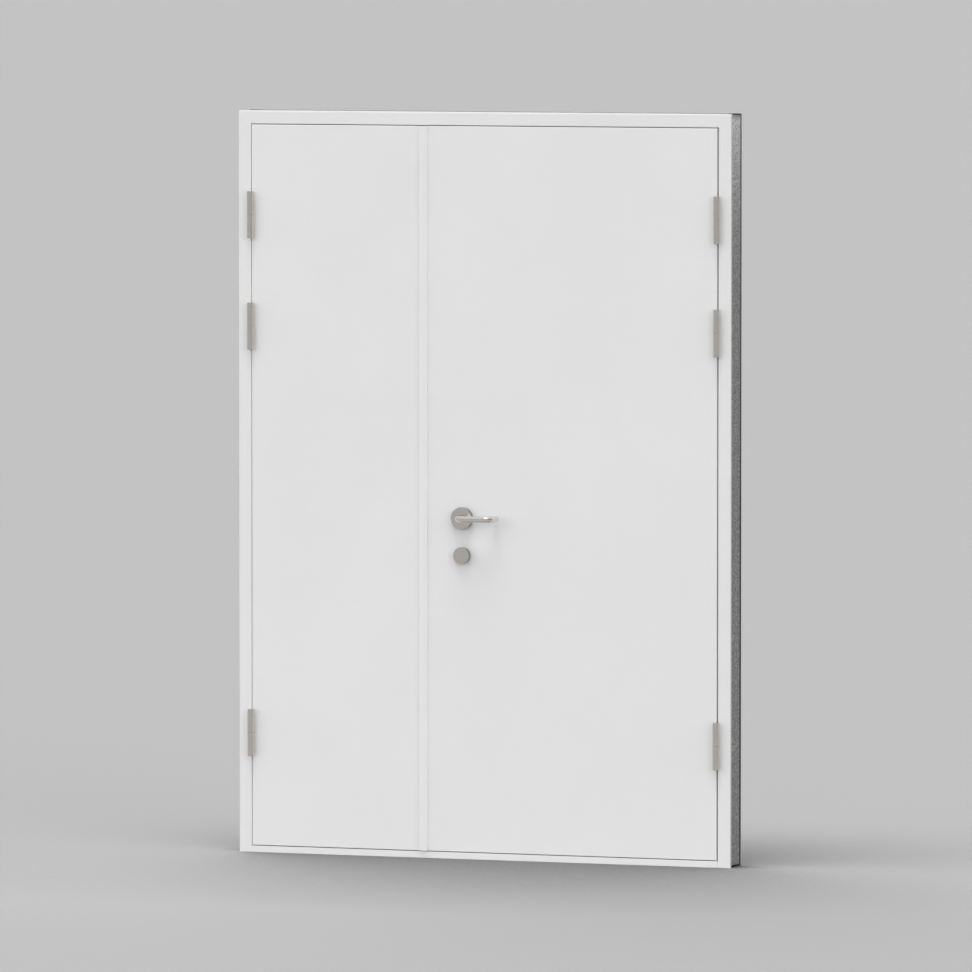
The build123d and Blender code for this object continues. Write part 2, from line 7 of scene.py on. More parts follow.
import bmesh
import bpy
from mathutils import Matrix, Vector


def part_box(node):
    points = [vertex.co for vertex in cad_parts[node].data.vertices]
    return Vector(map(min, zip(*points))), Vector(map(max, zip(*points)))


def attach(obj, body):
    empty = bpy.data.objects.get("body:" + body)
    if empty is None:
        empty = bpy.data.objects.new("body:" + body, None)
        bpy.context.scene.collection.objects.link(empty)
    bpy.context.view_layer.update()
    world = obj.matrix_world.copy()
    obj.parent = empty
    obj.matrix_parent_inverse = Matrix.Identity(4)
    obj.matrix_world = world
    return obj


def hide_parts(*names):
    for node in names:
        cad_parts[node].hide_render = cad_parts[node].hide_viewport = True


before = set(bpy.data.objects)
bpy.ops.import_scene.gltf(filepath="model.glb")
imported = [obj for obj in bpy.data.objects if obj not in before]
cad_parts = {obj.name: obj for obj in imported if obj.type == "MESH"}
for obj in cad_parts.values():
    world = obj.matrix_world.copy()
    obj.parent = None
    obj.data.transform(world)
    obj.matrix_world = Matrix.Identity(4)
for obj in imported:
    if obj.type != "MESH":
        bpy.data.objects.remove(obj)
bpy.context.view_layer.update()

LOG = logging.getLogger("fire_door")

Point = tuple[float, float, float]
Colour = tuple[float, float, float]

MM = 0.001


class Body(Enum):
    """The rigid bodies of the door set, by their names in the record."""

    FRAME = "frame"
    PASSIVE = "passive_leaf"
    ACTIVE = "active_leaf"
    LEVERS = "lever_set"


class Grain(Enum):
    """The way in which the brushing of a metal surface runs."""

    ROUND_UPRIGHT = "rings round an upright axis"
    ALONG_LEVER = "lines along the lever"
    UPRIGHT = "upright lines"


class NodeSheet:
    """Adds nodes to one node tree and links them."""

    def __init__(self, tree: bpy.types.NodeTree) -> None:
        """Start on a tree.

        Args:
            tree: The tree of a finish, a world or a shape.
        """
        self.tree = tree

    def add(self, kind: str, **settings: object) -> bpy.types.Node:
        """Add a node and set its properties.

        Args:
            kind: The node's type.
            **settings: Properties of the node by name.

        Returns:
            The new node.
        """
        node = self.tree.nodes.new(kind)
        for key, value in settings.items():
            setattr(node, key, value)
        return node

    def link(self, source: bpy.types.NodeSocket, target: bpy.types.NodeSocket) -> None:
        """Join an output to an input."""
        self.tree.links.new(source, target)

    def combine(
        self, operation: str, first: bpy.types.NodeSocket, second: bpy.types.NodeSocket | float
    ) -> bpy.types.NodeSocket:
        """Add a sum or comparison of two numbers.

        Args:
            operation: The node's operation.
            first: The first number.
            second: The second number, from a socket or fixed.

        Returns:
            The result.
        """
        node = self.add("ShaderNodeMath", operation=operation)
        self.link(first, node.inputs[0])
        if isinstance(second, float):
            node.inputs[1].default_value = second
        else:
            self.link(second, node.inputs[1])
        return node.outputs[0]

    def spread(
        self,
        value: bpy.types.NodeSocket,
        low: float,
        high: float,
        start: float = 0.3,
        end: float = 0.7,
        smooth: bool = False,
    ) -> bpy.types.NodeSocket:
        """Map a pattern to a range.

        Args:
            value: The pattern.
            low: The result where the pattern is at start.
            high: The result where the pattern is at end.
            start: The pattern's value that gives low.
            end: The pattern's value that gives high.
            smooth: Whether the range starts and ends softly.

        Returns:
            The mapped pattern.
        """
        node = self.add("ShaderNodeMapRange", interpolation_type="SMOOTHSTEP" if smooth else "LINEAR")
        for key, number in (("From Min", start), ("From Max", end), ("To Min", low), ("To Max", high)):
            node.inputs[key].default_value = number
        self.link(value, node.inputs["Value"])
        return node.outputs["Result"]


class Board(NodeSheet):
    """The nodes of one finish, round its principled shader."""

    def __init__(self, name: str) -> None:
        """Start an empty node material.

        Args:
            name: The name of the material.
        """
        self.material = bpy.data.materials.new(name)
        self.material.use_nodes = True
        super().__init__(self.material.node_tree)
        self.shader = self.tree.nodes["Principled BSDF"]
        self.place = self.add("ShaderNodeTexCoord").outputs["Object"]

    def mapped(self, scale: Point, shift: Point = (0.0, 0.0, 0.0)) -> bpy.types.NodeSocket:
        """Give object coordinates, shifted and then scaled.

        Args:
            scale: The factor along each axis.
            shift: The point that becomes the pattern's centre, in metres.

        Returns:
            The mapped coordinates.
        """
        moved = self.add("ShaderNodeVectorMath", operation="SUBTRACT")
        moved.inputs[1].default_value = shift
        self.link(self.place, moved.inputs[0])
        scaled = self.add("ShaderNodeVectorMath", operation="MULTIPLY")
        scaled.inputs[1].default_value = scale
        self.link(moved.outputs[0], scaled.inputs[0])
        return scaled.outputs[0]

    def noise(
        self,
        where: bpy.types.NodeSocket,
        scale: float,
        detail: float = 3.0,
        roughness: float = 0.5,
    ) -> bpy.types.NodeSocket:
        """Add a noise pattern.

        Args:
            where: The coordinates to read.
            scale: Cells in a metre of those coordinates.
            detail: Octaves of finer noise.
            roughness: How strong the finer octaves are.

        Returns:
            The pattern as a number from 0 to 1.
        """
        node = self.add("ShaderNodeTexNoise")
        node.inputs["Scale"].default_value = scale
        node.inputs["Detail"].default_value = detail
        node.inputs["Roughness"].default_value = roughness
        self.link(where, node.inputs["Vector"])
        return node.outputs["Fac"]

    def blend(
        self, factor: bpy.types.NodeSocket, first: Colour, second: Colour
    ) -> bpy.types.NodeSocket:
        """Mix two colours by a pattern.

        Args:
            factor: The pattern, 0 for the first colour and 1 for the second.
            first: The first colour, linear.
            second: The second colour, linear.

        Returns:
            The mixed colour.
        """
        node = self.add("ShaderNodeMix", data_type="RGBA")
        node.inputs["A"].default_value = (*first, 1.0)
        node.inputs["B"].default_value = (*second, 1.0)
        self.link(factor, node.inputs["Factor"])
        return node.outputs["Result"]

    def bump(self, height: bpy.types.NodeSocket, depth: float) -> None:
        """Send a height pattern to the shader's normal.

        Args:
            height: The pattern, from 0 to 1.
            depth: The real height of the relief in metres.
        """
        node = self.add("ShaderNodeBump")
        node.inputs["Strength"].default_value = 1.0
        node.inputs["Distance"].default_value = depth
        self.link(height, node.inputs["Height"])
        self.link(node.outputs["Normal"], self.shader.inputs["Normal"])

    def set(self, **values: float) -> None:
        """Set numbers on the shader's own sockets, with underscores for spaces in their names."""
        for key, value in values.items():
            self.shader.inputs[key.replace("_", " ")].default_value = value


@dataclass(frozen=True)
class PowderCoat:
    """Satin powder coat on steel sheet: almost even colour over a fine orange peel, optionally with a dark
    primer inside the channels that also carries painted shade and painted light.
    """

    name: str
    colour: Colour
    shade: float = 0.965
    roughness: float = 0.46
    peel_cells: float = 420.0
    peel_depth: float = 0.05 * MM
    cloud_cells: float = 2.2
    # Dark primer on the channels' inner faces: besides the primer's own colour it is painted shade inside
    # the channels, and it changes along far_axis as painted light and shade.
    primer_and_shade: Colour | None = None
    primer_light_and_shade_far: Colour = (0.0, 0.0, 0.0)
    far_axis: str = "Z"
    far_start: float = 1.0
    far_end: float = 2.1
    channel_face: float = 697.5 * MM
    channel_underside: float = 2062.5 * MM
    channel_side: float = 734.7 * MM
    channel_top: float = 2099.7 * MM
    channel_depth: float = 43.6 * MM

    def material(self) -> bpy.types.Material:
        """Build the finish.

        Returns:
            The node material.
        """
        board = Board(self.name)
        clouds = board.noise(board.place, self.cloud_cells, detail=5.0, roughness=0.6)
        darker = tuple(channel * self.shade for channel in self.colour)
        paint = board.blend(board.spread(clouds, 0.0, 1.0), darker, self.colour)
        # Painted shade: the dark primer darkens the channels' inner faces.
        if self.primer_and_shade:
            channel_shade_mix = board.add("ShaderNodeMix", data_type="RGBA")
            board.link(self.inside(board), channel_shade_mix.inputs["Factor"])
            board.link(paint, channel_shade_mix.inputs["A"])
            board.link(self.primer_painted_light(board), channel_shade_mix.inputs["B"])
            paint = channel_shade_mix.outputs["Result"]
        board.link(paint, board.shader.inputs["Base Color"])
        peel = board.noise(board.place, self.peel_cells, detail=2.0, roughness=0.45)
        rough = board.spread(peel, self.roughness - 0.04, self.roughness + 0.05)
        board.link(rough, board.shader.inputs["Roughness"])
        board.bump(peel, self.peel_depth)
        return board.material

    def primer_painted_light(self, board: Board) -> bpy.types.NodeSocket:
        """Paint light and shade into the primer along the frame: in the jambs it gets paler towards the top,
        where light falls in, and in the head it gets near black at the ends, where the corners lie in shade.

        Args:
            board: The material being built.

        Returns:
            The primer's colour, with its painted light and shade.
        """
        axes = board.add("ShaderNodeSeparateXYZ")
        board.link(board.place, axes.inputs[0])
        along = board.combine("ABSOLUTE", axes.outputs[self.far_axis], 0.0)
        share = board.spread(along, 0.0, 1.0, self.far_start, self.far_end)
        return board.blend(share, self.primer_and_shade, self.primer_light_and_shade_far)

    def inside(self, board: Board) -> bpy.types.NodeSocket:
        """Mark the inner faces of the frame's channels, which get the dark primer and its painted shade.

        Args:
            board: The material being built.

        Returns:
            One inside the channels and zero outside.
        """
        axes = board.add("ShaderNodeSeparateXYZ")
        board.link(board.place, axes.inputs[0])
        across = board.combine("ABSOLUTE", axes.outputs["X"], 0.0)
        depth = board.combine("ABSOLUTE", axes.outputs["Y"], 0.0)
        beside = board.combine("GREATER_THAN", across, self.channel_face)
        above = board.combine("GREATER_THAN", axes.outputs["Z"], self.channel_underside)
        within = board.combine("MAXIMUM", beside, above)
        for value, limit in (
            (across, self.channel_side),
            (depth, self.channel_depth),
            (axes.outputs["Z"], self.channel_top),
        ):
            within = board.combine("MULTIPLY", within, board.combine("LESS_THAN", value, limit))
        return within


@dataclass(frozen=True)
class BrushedSteel:
    """Satin stainless or plated steel with fine brushing that follows the piece, and, on the roses, painted
    shade on the cylindrical side past a given radius.
    """

    name: str
    colour: Colour
    grain: Grain
    roughness: float = 0.17
    centre: Point = (0.0, 0.0, 0.0)
    line_cells: float = 1400.0
    line_depth: float = 0.003 * MM
    line_shade: float = 0.95
    line_stretch: float = 45.0
    stain_cells: float = 38.0
    # Painted shade and painted dark reflection: past this radius from the centre, a rose's side wall is
    # darkened.
    side_shade_radius: float = 0.0
    side_shade_level: float = 0.42

    def material(self) -> bpy.types.Material:
        """Build the finish.

        Returns:
            The node material.
        """
        board = Board(self.name)
        lines = board.noise(self.grain_coordinates(board), 1.0, detail=4.0, roughness=0.6)
        stains = board.noise(board.place, self.stain_cells, detail=4.0, roughness=0.55)
        darker = tuple(channel * self.line_shade for channel in self.colour)
        metal = board.blend(board.spread(lines, 0.0, 1.0, 0.2, 0.8), darker, self.colour)
        # Painted shade on the rose's side wall.
        if self.side_shade_radius:
            side = board.add("ShaderNodeMix", data_type="RGBA")
            past = board.combine("GREATER_THAN", self.distance(board), self.side_shade_radius)
            board.link(past, side.inputs["Factor"])
            board.link(metal, side.inputs["A"])
            shaded = tuple(channel * self.side_shade_level for channel in self.colour)
            side.inputs["B"].default_value = (*shaded, 1.0)
            metal = side.outputs["Result"]
        board.link(metal, board.shader.inputs["Base Color"])
        board.set(Metallic=1.0)
        rough = board.spread(stains, self.roughness - 0.02, self.roughness + 0.03)
        board.link(rough, board.shader.inputs["Roughness"])
        board.bump(lines, self.line_depth)
        return board.material

    def grain_coordinates(self, board: Board) -> bpy.types.NodeSocket:
        """Give coordinates that are stretched along the brushing.

        Args:
            board: The material being built.

        Returns:
            The coordinates.
        """
        fine, slow = self.line_cells, self.line_cells / self.line_stretch
        scales = {
            Grain.ROUND_UPRIGHT: (slow, slow, fine),
            Grain.ALONG_LEVER: (slow, fine, fine),
            Grain.UPRIGHT: (fine, fine, slow),
        }
        return board.mapped(scales[self.grain], self.centre)

    def distance(self, board: Board) -> bpy.types.NodeSocket:
        """Give the distance from the centre's axis along Y.

        Args:
            board: The material being built.

        Returns:
            The distance in metres.
        """
        radius = board.add("ShaderNodeVectorMath", operation="LENGTH")
        board.link(board.mapped((1.0, 0.0, 1.0), self.centre), radius.inputs[0])
        return radius.outputs["Value"]


@dataclass(frozen=True)
class MineralBoard:
    """Mineral fill with coarse grains, open pores and fine dust."""

    name: str
    light: Colour
    dark: Colour
    grain_cells: float = 300.0
    dust_ratio: float = 1.6
    relief: float = 0.9 * MM
    # Painted light: above a given height the fill gets paler, as light falls in from above; painted shade:
    # it gets darker close under the head.
    top_light_gain: float = 0.0
    top_light_height: float = 1.6
    top_light_span: float = 0.5
    palest: float = 0.85
    head_shade_start: float = 2082.0 * MM
    head_shade_end: float = 2098.0 * MM
    head_shade_level: float = 0.35

    def material(self) -> bpy.types.Material:
        """Build the finish.

        Returns:
            The node material.
        """
        board = Board(self.name)
        grains = board.add("ShaderNodeTexVoronoi")
        grains.inputs["Scale"].default_value = self.grain_cells
        board.link(board.place, grains.inputs["Vector"])
        dust = board.noise(board.place, self.grain_cells * self.dust_ratio, detail=4.0, roughness=0.7)
        grain = board.spread(grains.outputs["Distance"], 0.5, 1.0, start=0.1, end=0.8)
        tone = board.combine("MULTIPLY", grain, board.spread(dust, 0.2, 1.0))
        grey = board.blend(tone, self.dark, self.light)
        # Paint light near the top and shade under the head into the fill's colour.
        if self.top_light_gain:
            grey = self.paint_top_light_and_shade(board, grey)
        board.link(grey, board.shader.inputs["Base Color"])
        board.set(Roughness=0.95, Specular_IOR_Level=0.2)
        board.bump(tone, self.relief)
        return board.material

    def paint_top_light_and_shade(self, board: Board, grey: bpy.types.NodeSocket) -> bpy.types.NodeSocket:
        """Paint light and shade into the fill: paler towards the top, where light falls into the channel,
        and darker close under the head, where the fill lies in shade.

        Args:
            board: The material being built.
            grey: The fill's colour.

        Returns:
            The shaded colour.
        """
        upright = board.add("ShaderNodeSeparateXYZ")
        board.link(board.place, upright.inputs[0])
        height = upright.outputs["Z"]
        above = board.combine("MAXIMUM", board.combine("SUBTRACT", height, self.top_light_height), 0.0)
        rise = board.combine("POWER", board.combine("DIVIDE", above, self.top_light_span), 2.0)
        gain = board.combine("ADD", board.combine("MULTIPLY", rise, self.top_light_gain), 1.0)
        head_shade_factor = board.spread(height, 1.0, self.head_shade_level, self.head_shade_start, self.head_shade_end)
        paler = board.add("ShaderNodeVectorMath", operation="SCALE")
        board.link(grey, paler.inputs[0])
        board.link(board.combine("MULTIPLY", gain, head_shade_factor), paler.inputs["Scale"])
        capped = board.add("ShaderNodeVectorMath", operation="MINIMUM")
        board.link(paler.outputs[0], capped.inputs[0])
        capped.inputs[1].default_value = (self.palest,) * 3
        return capped.outputs[0]


@dataclass(frozen=True)
class SoftSeal:
    """Dull elastomer, such as a rebate seal or a fire strip, with a slight bloom."""

    name: str
    colour: Colour
    bloom: Colour
    roughness: float = 0.62
    haze_cells: float = 60.0
    skin_cells: float = 900.0
    skin_depth: float = 0.03 * MM

    def material(self) -> bpy.types.Material:
        """Build the finish.

        Returns:
            The node material.
        """
        board = Board(self.name)
        haze = board.noise(board.place, self.haze_cells, detail=5.0, roughness=0.6)
        tone = board.blend(board.spread(haze, 0.0, 1.0), self.colour, self.bloom)
        board.link(tone, board.shader.inputs["Base Color"])
        skin = board.noise(board.place, self.skin_cells, detail=2.0)
        rough = board.spread(skin, self.roughness - 0.06, self.roughness + 0.08)
        board.link(rough, board.shader.inputs["Roughness"])
        board.bump(skin, self.skin_depth)
        return board.material


# Linear colours that several pieces share.
WHITE: Colour = (0.87, 0.87, 0.87)
STAINLESS: Colour = (0.725, 0.68, 0.637)
POLISHED: Colour = (0.79, 0.755, 0.725)
ZINC: Colour = (0.62, 0.63, 0.64)

# Angles that leave a screw's axis upright, or turn it over.
UP: Point = (0.0, 0.0, 0.0)
DOWN: Point = (math.pi, 0.0, 0.0)


def towards_x(side: float) -> Point:
    """Give the angles that turn +Z to +X, or to -X where side is negative."""
    return (0.0, side * math.pi / 2.0, 0.0)


def dress(nodes: Iterable[str], material: bpy.types.Material) -> None:
    """Give CAD nodes a material.

    Args:
        nodes: The names of the nodes.
        material: The finish for all of them.
    """
    for name in nodes:
        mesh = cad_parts[name].data
        mesh.materials.clear()
        mesh.materials.append(material)
        LOG.info("dressed %s with %s", name, material.name)


@dataclass(frozen=True)
class ScrewHead:
    """A countersunk screw head with a hexagon socket, lying flush in a plate."""

    radius: float = 4.2 * MM
    rise: float = 0.15 * MM
    socket: float = 1.9 * MM
    depth: float = 1.6 * MM
    skirt: float = 0.4 * MM
    chamfer: float = 0.15 * MM
    crown: float = 0.93
    mouth: float = 1.12
    segments: int = 24

    def mesh(self) -> bpy.types.Mesh:
        """Turn the head's profile, with the axis along +Z and its seat at the origin.

        Returns:
            The closed mesh.
        """
        profile = (
            (self.radius, -self.skirt, False),
            (self.radius, self.rise * 0.5, False),
            (self.radius * self.crown, self.rise, False),
            (self.socket * self.mouth, self.rise, True),
            (self.socket, self.rise - self.chamfer, True),
            (self.socket, self.rise - self.depth, True),
        )
        shape = bmesh.new()
        rings = [
            [shape.verts.new(self.corner(radius, height, i, hexagon)) for i in range(self.segments)]
            for radius, height, hexagon in profile
        ]
        for low, high in zip(rings, rings[1:]):
            for i in range(self.segments):
                j = (i + 1) % self.segments
                shape.faces.new((low[i], low[j], high[j], high[i]))
        shape.faces.new(rings[-1])
        shape.faces.new(list(reversed(rings[0])))
        bmesh.ops.recalc_face_normals(shape, faces=shape.faces)
        mesh = bpy.data.meshes.new("screw_head")
        shape.to_mesh(mesh)
        shape.free()
        return mesh

    def corner(self, radius: float, height: float, index: int, hexagon: bool) -> Vector:
        """Place one corner of a ring.

        Args:
            radius: The ring's radius, or its apothem where it is a hexagon.
            height: The ring's height.
            index: Which corner this is.
            hexagon: Whether the ring is six-sided.

        Returns:
            The corner.
        """
        angle = 2.0 * math.pi * index / self.segments
        if hexagon:
            radius /= math.cos((angle % (math.pi / 3.0)) - math.pi / 6.0)
        return Vector((radius * math.cos(angle), radius * math.sin(angle), height))


class GrowingTree(NodeSheet):
    """A Geometry Nodes tree with named inputs, which is run once for each mesh that it makes."""

    NAME: str = ""
    INPUTS: tuple[tuple[str, str], ...] = ()

    def __init__(self) -> None:
        """Build the tree: its inputs, its shape, and the nodes that make the shape real and finish it."""
        super().__init__(bpy.data.node_groups.new(self.NAME, "GeometryNodeTree"))
        face = self.tree.interface
        face.new_socket("Geometry", in_out="OUTPUT", socket_type="NodeSocketGeometry")
        self.sockets = {
            name: face.new_socket(name, in_out="INPUT", socket_type=kind) for name, kind in self.INPUTS
        }
        self.start = self.add("NodeGroupInput")
        real = self.add("GeometryNodeRealizeInstances")
        paint = self.add("GeometryNodeSetMaterial")
        end = self.add("NodeGroupOutput")
        self.link(self.shape(), real.inputs["Geometry"])
        self.link(real.outputs["Geometry"], paint.inputs["Geometry"])
        self.link(self.start.outputs["Finish"], paint.inputs["Material"])
        self.link(paint.outputs["Geometry"], end.inputs["Geometry"])

    def shape(self) -> bpy.types.NodeSocket:
        """Add the nodes of the shape itself.

        Returns:
            The shape's geometry.
        """
        raise NotImplementedError

    def grow(self, values: dict[str, object]) -> bpy.types.Mesh:
        """Run the tree once and keep its result as a plain mesh.

        Args:
            values: The value of each input by its name.

        Returns:
            The mesh.
        """
        holder = bpy.data.objects.new("holder", bpy.data.meshes.new("holder"))
        bpy.context.scene.collection.objects.link(holder)
        modifier = holder.modifiers.new(self.tree.name, "NODES")
        modifier.node_group = self.tree
        for name, value in values.items():
            modifier[self.sockets[name].identifier] = value
        bpy.context.view_layer.update()
        ready = holder.evaluated_get(bpy.context.evaluated_depsgraph_get())
        mesh = bpy.data.meshes.new_from_object(ready)
        holder.modifiers.remove(modifier)
        bpy.data.objects.remove(holder)
        return mesh


class FastenerTree(GrowingTree):
    """Sets a row of like fasteners on a face."""

    NAME = "Row of fasteners"
    INPUTS = (
        ("Fastener", "NodeSocketObject"),
        ("Count", "NodeSocketInt"),
        ("Start", "NodeSocketVector"),
        ("Step", "NodeSocketVector"),
        ("Turn", "NodeSocketVector"),
        ("Finish", "NodeSocketMaterial"),
    )

    def shape(self) -> bpy.types.NodeSocket:
        """Repeat the fastener along a straight line.

        Returns:
            The row's geometry.
        """
        line = self.add("GeometryNodeMeshLine")
        source = self.add("GeometryNodeObjectInfo")
        place = self.add("GeometryNodeInstanceOnPoints")
        self.link(self.start.outputs["Count"], line.inputs["Count"])
        self.link(self.start.outputs["Start"], line.inputs["Start Location"])
        self.link(self.start.outputs["Step"], line.inputs["Offset"])
        self.link(self.start.outputs["Fastener"], source.inputs["Object"])
        self.link(line.outputs["Mesh"], place.inputs["Points"])
        self.link(source.outputs["Geometry"], place.inputs["Instance"])
        self.link(self.start.outputs["Turn"], place.inputs["Rotation"])
        return place.outputs["Instances"]


class ScrewKit:
    """One size of screw with its finish, and the tree that repeats it."""

    def __init__(self, rows: FastenerTree, head: ScrewHead, finish: bpy.types.Material) -> None:
        """Make the screw that the rows repeat.

        Args:
            rows: The tree that sets a row of fasteners.
            head: The screw's head.
            finish: The screw's material.
        """
        self.rows = rows
        self.finish = finish
        self.screw = bpy.data.objects.new("screw", head.mesh())
        bpy.context.scene.collection.objects.link(self.screw)

    def row(self, count: int, start: Point, step: Point, turn: Point) -> bpy.types.Mesh:
        """Make one row of screws as a plain mesh.

        Args:
            count: How many there are.
            start: The first one's seat.
            step: The way from each one to the next.
            turn: The angles that turn +Z to the row's outward direction.

        Returns:
            The row's mesh.
        """
        values = {
            "Fastener": self.screw,
            "Count": count,
            "Start": start,
            "Step": step,
            "Turn": turn,
            "Finish": self.finish,
        }
        return self.rows.grow(values)

    def clear(self) -> None:
        """Remove the screw that was repeated."""
        bpy.data.objects.remove(self.screw)


class SealTree(GrowingTree):
    """Runs a seal's section round a path with rounded corners."""

    NAME = "Run of seal"
    CORNER_POINTS = 6
    INPUTS = (
        ("Path", "NodeSocketObject"),
        ("Section", "NodeSocketObject"),
        ("Corner", "NodeSocketFloat"),
        ("Finish", "NodeSocketMaterial"),
    )

    def shape(self) -> bpy.types.NodeSocket:
        """Round the path's corners and sweep the section along it.

        Returns:
            The run's geometry.
        """
        path = self.add("GeometryNodeObjectInfo")
        section = self.add("GeometryNodeObjectInfo")
        corner = self.add("GeometryNodeFilletCurve", mode="POLY")
        corner.inputs["Count"].default_value = self.CORNER_POINTS
        sweep = self.add("GeometryNodeCurveToMesh")
        self.link(self.start.outputs["Path"], path.inputs["Object"])
        self.link(self.start.outputs["Section"], section.inputs["Object"])
        self.link(path.outputs["Geometry"], corner.inputs["Curve"])
        self.link(self.start.outputs["Corner"], corner.inputs["Radius"])
        self.link(corner.outputs["Curve"], sweep.inputs["Curve"])
        self.link(section.outputs["Geometry"], sweep.inputs["Profile Curve"])
        return sweep.outputs["Mesh"]

    def sweep(
        self,
        path: Sequence[Point],
        section: Sequence[tuple[float, float]],
        corner: float,
        finish: bpy.types.Material,
    ) -> bpy.types.Mesh:
        """Make one closed run of seal as a plain mesh.

        Args:
            path: The corners of the run.
            section: The corners of the section.
            corner: The radius at the run's corners.
            finish: The material.

        Returns:
            The seal's mesh, with its faces outwards.
        """
        values = {
            "Path": self.loop("seal_path", path),
            "Section": self.loop("seal_section", [(x, y, 0.0) for x, y in section]),
            "Corner": corner,
            "Finish": finish,
        }
        mesh = self.grow(values)
        for name in ("Path", "Section"):
            bpy.data.objects.remove(values[name])
        shape = bmesh.new()
        shape.from_mesh(mesh)
        bmesh.ops.remove_doubles(shape, verts=shape.verts, dist=1e-7)
        bmesh.ops.recalc_face_normals(shape, faces=shape.faces)
        shape.to_mesh(mesh)
        shape.free()
        return mesh

    def loop(self, name: str, points: Sequence[Point]) -> bpy.types.Object:
        """Make a closed run of straight lines.

        Args:
            name: The name of the curve.
            points: Its corners.

        Returns:
            The curve's object.
        """
        curve = bpy.data.curves.new(name, "CURVE")
        curve.dimensions = "3D"
        spline = curve.splines.new("POLY")
        spline.points.add(len(points) - 1)
        for point, place in zip(spline.points, points):
            point.co = (*place, 1.0)
        spline.use_cyclic_u = True
        item = bpy.data.objects.new(name, curve)
        bpy.context.scene.collection.objects.link(item)
        return item


def piece_from(name: str, meshes: Sequence[bpy.types.Mesh], body: Body) -> bpy.types.Object:
    """Join meshes into one piece that rides on a body.

    Args:
        name: The piece's name.
        meshes: The meshes, all in the door's own frame and with one material.
        body: The body that carries the piece.

    Returns:
        The new object.
    """
    shape = bmesh.new()
    for mesh in meshes:
        shape.from_mesh(mesh)
    joined = bpy.data.meshes.new(name)
    shape.to_mesh(joined)
    shape.free()
    joined.materials.append(meshes[0].materials[0])
    piece = bpy.data.objects.new(name, joined)
    bpy.context.scene.collection.objects.link(piece)
    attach(piece, body.value)
    LOG.info("made %s on %s, %d faces", name, body.value, len(joined.polygons))
    return piece


@dataclass
class SteelFrame:
    """The channel frame: jambs, head, threshold, their mineral fill and the rebate seal."""

    # The jambs' primer is dark low down and paler towards the top: painted shade inside the channel, with
    # painted light where light falls in from above.
    paint: PowderCoat = PowderCoat(
        "frame_powder_coat", WHITE, primer_and_shade=(0.09, 0.09, 0.091), primer_light_and_shade_far=(0.24, 0.24, 0.24)
    )
    # The head's primer is mid grey, going near black at its ends: painted shade in the corners.
    head_paint: PowderCoat = PowderCoat(
        "head_powder_coat",
        WHITE,
        primer_and_shade=(0.27, 0.27, 0.27),
        primer_light_and_shade_far=(0.03, 0.03, 0.03),
        far_axis="X",
        far_start=696.0 * MM,
        far_end=700.0 * MM,
    )
    head_fill: MineralBoard = MineralBoard(
        "head_mineral_fill", (0.73, 0.73, 0.72), (0.02, 0.02, 0.02), grain_cells=125.0
    )
    # The jamb fill carries painted light towards its top and painted shade close under the head.
    jamb_fill: MineralBoard = MineralBoard(
        "jamb_mineral_fill", (0.65, 0.65, 0.64), (0.018, 0.018, 0.018), grain_cells=125.0, top_light_gain=1.25
    )
    seal: SoftSeal = SoftSeal("grey_rebate_seal", (0.16, 0.16, 0.165), (0.20, 0.20, 0.205))
    seal_inset: float = 5.0 * MM
    seal_foot: float = 3.0 * MM
    seal_corner: float = 9.0 * MM
    foot_thickness: float = 0.8 * MM
    bulb_slack: float = 0.5 * MM
    bulb_turn: float = 140.0
    bulb_steps: int = 12

    def dress(self) -> None:
        """Give the frame's nodes their finishes."""
        dress(("left_jamb", "right_jamb", "threshold"), self.paint.material())
        dress(("head",), self.head_paint.material())
        dress(("left_infill", "right_infill"), self.jamb_fill.material())
        dress(("head_infill",), self.head_fill.material())

    def build_seal(self, run: SealTree) -> None:
        """Run the hollow seal round the stop in place of its plain CAD solid.

        Args:
            run: The tree that sweeps a section round a path.
        """
        low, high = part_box("frame_seal")
        left, right = low[0] + self.seal_inset, high[0] - self.seal_inset
        bottom, top = low[2] + self.seal_foot, high[2] - self.seal_inset
        path = [(x, high[1], z) for x, z in ((left, bottom), (right, bottom), (right, top), (left, top))]
        section = self.section(high[1] - low[1])
        mesh = run.sweep(path, section, self.seal_corner, self.seal.material())
        piece = piece_from("rebate_seal", [mesh], Body.FRAME)
        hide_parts("frame_seal")

    def section(self, depth: float) -> list[tuple[float, float]]:
        """Give the seal's section: a flat foot that carries a round bulb.

        Args:
            depth: How far the bulb stands off the stop.

        Returns:
            The corners, as the distance off the stop and along it.
        """
        foot, edge = self.seal_foot, self.foot_thickness
        radius = (depth - self.bulb_slack) / 2.0
        centre = depth - radius
        steps = range(self.bulb_steps + 1)
        turns = [math.radians(-self.bulb_turn + 2.0 * self.bulb_turn * i / self.bulb_steps) for i in steps]
        bulb = [(centre + radius * math.cos(turn), radius * math.sin(turn)) for turn in turns]
        return [(edge, -foot), *bulb, (edge, foot), (0.0, foot), (0.0, -foot)]


@dataclass
class Leaves:
    """The two leaves: skins, cover strips, cores and fire strips."""

    paint: PowderCoat = PowderCoat("leaf_powder_coat", WHITE)
    core: MineralBoard = MineralBoard(
        "leaf_mineral_core", (0.50, 0.46, 0.33), (0.22, 0.19, 0.12), grain_cells=500.0
    )
    strip: SoftSeal = SoftSeal(
        "graphite_fire_strip", (0.03, 0.03, 0.032), (0.06, 0.06, 0.062), roughness=0.75
    )

    def dress(self) -> None:
        """Give the leaves' nodes their finishes."""
        skins = [f"{leaf}_{side}_skin" for leaf in ("passive", "active") for side in ("front", "back")]
        dress(skins + ["front_cover_strip", "rear_cover_strip"], self.paint.material())
        dress(("passive_core", "active_core"), self.core.material())
        dress(("passive_fire_strip", "active_fire_strip"), self.strip.material())


